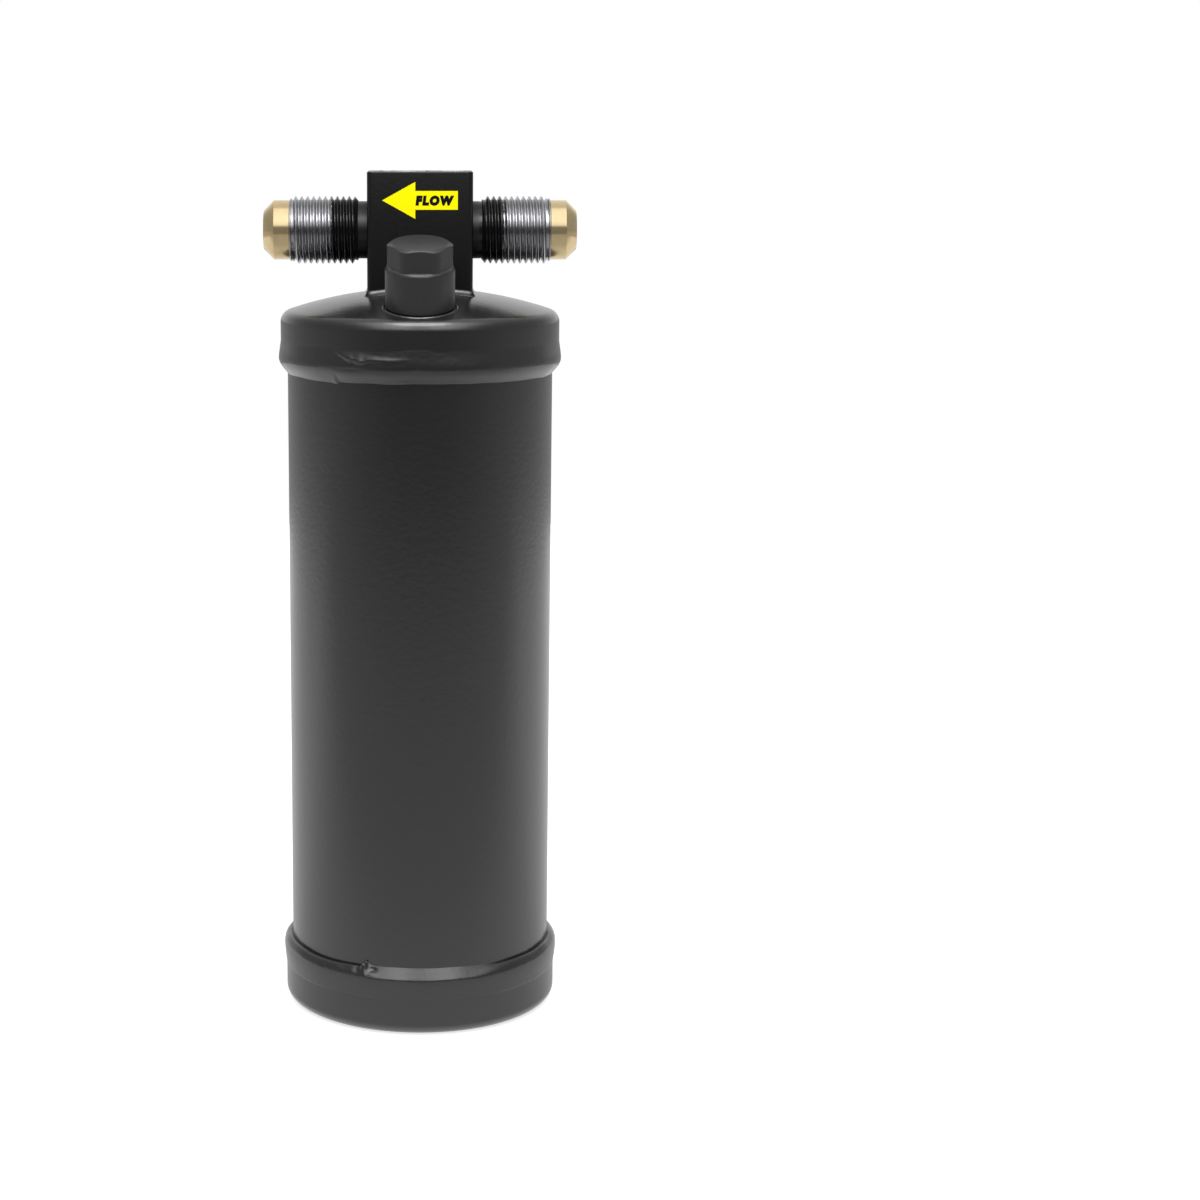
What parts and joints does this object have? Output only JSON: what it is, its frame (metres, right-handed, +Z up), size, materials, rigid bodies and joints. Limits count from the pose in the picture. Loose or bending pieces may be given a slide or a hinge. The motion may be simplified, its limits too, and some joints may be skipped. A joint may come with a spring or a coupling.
{
  "type": "filter drier",
  "caption": "Upright receiver and filter drier: painted steel can with domed head, header block, two threaded side ports, sight glass and screw-capped service ports.",
  "frame": {"origin": "centre of the can's flat base, on its axis", "axes": "+Z up along the can, +X towards the inlet port, -Y towards the face with the flow arrow"},
  "size_m": [0.0742, 0.0678, 0.2034],
  "materials": {
    "can_paint": "satin",
    "block_paint": "satin",
    "cap_paint": "matte",
    "port_steel": "satin",
    "port_brass": "satin",
    "inner_steel": "satin",
    "sight_glass": "gloss",
    "seal_rubber": "matte",
    "filter_felt": "matte",
    "desiccant_beads": "matte"
  },
  "bodies": {
    "vessel": {"shell_tube": "can_paint", "bottom_head": "can_paint", "top_head": "can_paint", "bottom_weld": "can_paint", "top_weld": "can_paint", "header_weld": "can_paint", "header_block": "block_paint", "inlet_fitting": "port_steel", "outlet_fitting": "port_steel", "inlet_nose": "port_brass", "outlet_nose": "port_brass", "sight_glass_ring": "port_steel", "sight_glass": "sight_glass", "sight_glass_seal": "seal_rubber", "pickup_tube": "inner_steel", "strainer": "port_brass", "lower_plate": "inner_steel", "upper_plate": "inner_steel", "lower_pad": "filter_felt", "upper_pad": "filter_felt", "desiccant": "desiccant_beads", "pack_spring": "inner_steel", "front_port_boss": "port_steel", "front_port_weld": "can_paint", "front_valve_core": "port_brass", "front_valve_spring": "inner_steel", "rear_port_boss": "port_steel", "rear_port_weld": "can_paint", "rear_valve_core": "port_brass", "rear_valve_spring": "inner_steel"},
    "front_valve_pin": {"front_valve_pin": "inner_steel"},
    "front_cap_seal": {"front_cap_seal": "seal_rubber"},
    "front_cap": {"front_cap": "cap_paint"},
    "rear_valve_pin": {"rear_valve_pin": "inner_steel"},
    "rear_cap_seal": {"rear_cap_seal": "seal_rubber"},
    "rear_cap": {"rear_cap": "cap_paint"}
  },
  "joints": [
    {"name": "front_cap_lift", "type": "slide", "parent": "vessel", "child": "front_cap_seal", "axis": [0, -0.228, 0.9737], "range_m": [0, 0.00762]},
    {"name": "front_cap_screw", "type": "hinge", "parent": "front_cap_seal", "child": "front_cap", "pos_m": [0, -0.0228, 0.17304], "axis": [0, -0.228, 0.9737], "range_deg": [0, 2160.1]},
    {"name": "front_pin_press", "type": "slide", "parent": "vessel", "child": "front_valve_pin", "axis": [0, 0.228, -0.9737], "range_m": [0, 0.0012], "stiffness_N_per_m": 800, "springref_m": -0.001, "deforming": ["front_valve_spring"]},
    {"name": "rear_cap_lift", "type": "slide", "parent": "vessel", "child": "rear_cap_seal", "axis": [0, 0.228, 0.9737], "range_m": [0, 0.00762]},
    {"name": "rear_cap_screw", "type": "hinge", "parent": "rear_cap_seal", "child": "rear_cap", "pos_m": [0, 0.0228, 0.17304], "axis": [0, 0.228, 0.9737], "range_deg": [0, 2160.1]},
    {"name": "rear_pin_press", "type": "slide", "parent": "vessel", "child": "rear_valve_pin", "axis": [0, -0.228, -0.9737], "range_m": [0, 0.0012], "stiffness_N_per_m": 800, "springref_m": -0.001, "deforming": ["rear_valve_spring"]}
  ],
  "couplings": [
    {"joint": "front_cap_screw", "follows": "front_cap_lift", "rad_per_m": 4947.4},
    {"joint": "rear_cap_screw", "follows": "rear_cap_lift", "rad_per_m": 4947.4}
  ]
}
